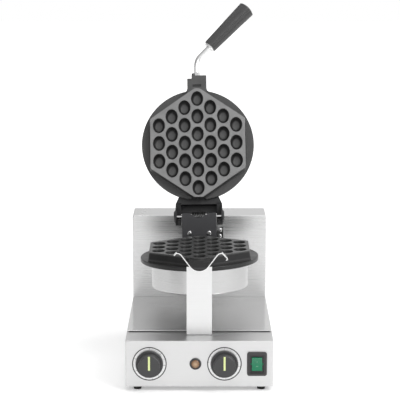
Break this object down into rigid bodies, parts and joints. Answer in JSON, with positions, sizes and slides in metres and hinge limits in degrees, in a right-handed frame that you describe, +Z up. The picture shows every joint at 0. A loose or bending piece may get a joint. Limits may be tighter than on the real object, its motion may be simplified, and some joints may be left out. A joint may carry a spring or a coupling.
{
  "type": "rotating bubble waffle maker",
  "caption": "Counter-top bubble waffle maker: two hinged round cast irons with oval cups turn together on a column over a drip tray, with thermostat, timer, lamp and rocker switch.",
  "frame": {"origin": "centre of the footprint, on the surface that the feet stand on", "axes": "+Z up, -Y towards the control panel at the front, +X to the right as seen from the front"},
  "size_m": [0.25, 0.448, 0.636],
  "materials": {
    "housing_steel": "brushed stainless sheet, satin",
    "deck_steel": "bright, nearly mirror stainless",
    "plain_steel": "plain steel, satin",
    "bright_steel": "bright plated steel",
    "plate_aluminium": "cast aluminium with charcoal non-stick coat",
    "hinge_black": "black enamel, satin",
    "cover_grey": "dark grey enamel, satin",
    "knob_plastic": "dark grey plastic, satin",
    "grip_plastic": "dark heat-proof plastic, satin",
    "pointer_pale": "pale yellow-green inlay",
    "dial_silver": "satin silver dial with a dark ring and plain numbers",
    "black_plastic": "black plastic, half gloss",
    "rocker_green": "green translucent plastic",
    "lens_amber": "amber lens",
    "foot_rubber": "black rubber",
    "drum_steel": "bright rolled stainless",
    "zinc": "zinc-plated steel",
    "insulation_white": "white fibre board",
    "heater_sheath": "dark steel sheath",
    "bronze": "plain bronze",
    "copper": "bare copper",
    "cable_black": "black silicone insulation",
    "screw_black": "blackened steel"
  },
  "bodies": {
    "base": {"base_housing": "housing_steel", "tray_well": "plain_steel", "bottom_plate": "plain_steel", "rubber_feet": "foot_rubber", "foot_screws": "zinc", "column_shell": "housing_steel", "back_cover": "housing_steel", "back_cover_screws": "zinc", "front_support": "housing_steel", "cradle_spring": "bright_steel", "thermostat_dial": "dial_silver", "timer_dial": "dial_silver", "thermostat_body": "black_plastic", "timer_body": "black_plastic", "lamp_housing": "black_plastic", "lamp_lens": "lens_amber", "switch_housing": "black_plastic", "cable_gland": "black_plastic", "terminal_block": "insulation_white", "wire_loom": "cable_black", "capillary_tube": "copper", "shaft_bearing": "bronze", "bearing_nut": "zinc", "stop_block": "zinc"},
    "tray": {"drip_tray": "deck_steel"},
    "thermostat_control": {"thermostat_knob": "knob_plastic", "thermostat_pointer": "pointer_pale", "thermostat_spindle": "zinc"},
    "timer_control": {"timer_knob": "knob_plastic", "timer_pointer": "pointer_pale", "timer_spindle": "zinc"},
    "rocker": {"switch_rocker": "rocker_green"},
    "iron": {"swivel_shaft": "plain_steel", "shaft_collar": "zinc", "lead_cable": "cable_black", "hinge_block": "hinge_black", "hinge_cover": "cover_grey", "hinge_screws": "bright_steel", "hinge_spring": "plain_steel", "side_bracket": "bright_steel", "lower_plate": "plate_aluminium", "lower_drum": "drum_steel", "lower_heater": "heater_sheath", "lower_heater_clamp": "plain_steel", "lower_insulation": "insulation_white", "lower_centre_bolt": "bright_steel"},
    "lid": {"hinge_yoke": "hinge_black", "hinge_pin": "bright_steel", "pin_lock_screws": "bright_steel", "yoke_bolts": "screw_black", "upper_plate": "plate_aluminium", "upper_drum": "drum_steel", "upper_heater": "heater_sheath", "upper_heater_clamp": "plain_steel", "upper_insulation": "insulation_white", "upper_centre_bolt": "bright_steel", "handle_rod": "bright_steel", "handle_nut": "bright_steel", "handle_ferrule": "bright_steel", "handle_grip": "grip_plastic"}
  },
  "joints": [
    {"name": "iron_turn", "type": "hinge", "parent": "base", "child": "iron", "pos_m": [0, 0.124, 0.219], "axis": [0, 1, 0], "range_deg": [-33, 33]},
    {"name": "lid_hinge", "type": "hinge", "parent": "iron", "child": "lid", "pos_m": [-0.00052, 0.087, 0.24899], "axis": [0.9998, 0, 0.0175], "range_deg": [0, 110]},
    {"name": "thermostat_turn", "type": "hinge", "parent": "base", "child": "thermostat_control", "pos_m": [-0.0842, -0.202, 0.0475], "axis": [0, 1, 0], "range_deg": [0, 290]},
    {"name": "timer_turn", "type": "hinge", "parent": "base", "child": "timer_control", "pos_m": [0.0424, -0.202, 0.0475], "axis": [0, 1, 0], "range_deg": [0, 300]},
    {"name": "rocker_tilt", "type": "hinge", "parent": "base", "child": "rocker", "pos_m": [0.0973, -0.2036, 0.0475], "axis": [1, 0, 0], "range_deg": [0, 14]},
    {"name": "tray_lift", "type": "slide", "parent": "base", "child": "tray", "axis": [0, 0, 1], "range_m": [0, 0.015]}
  ]
}
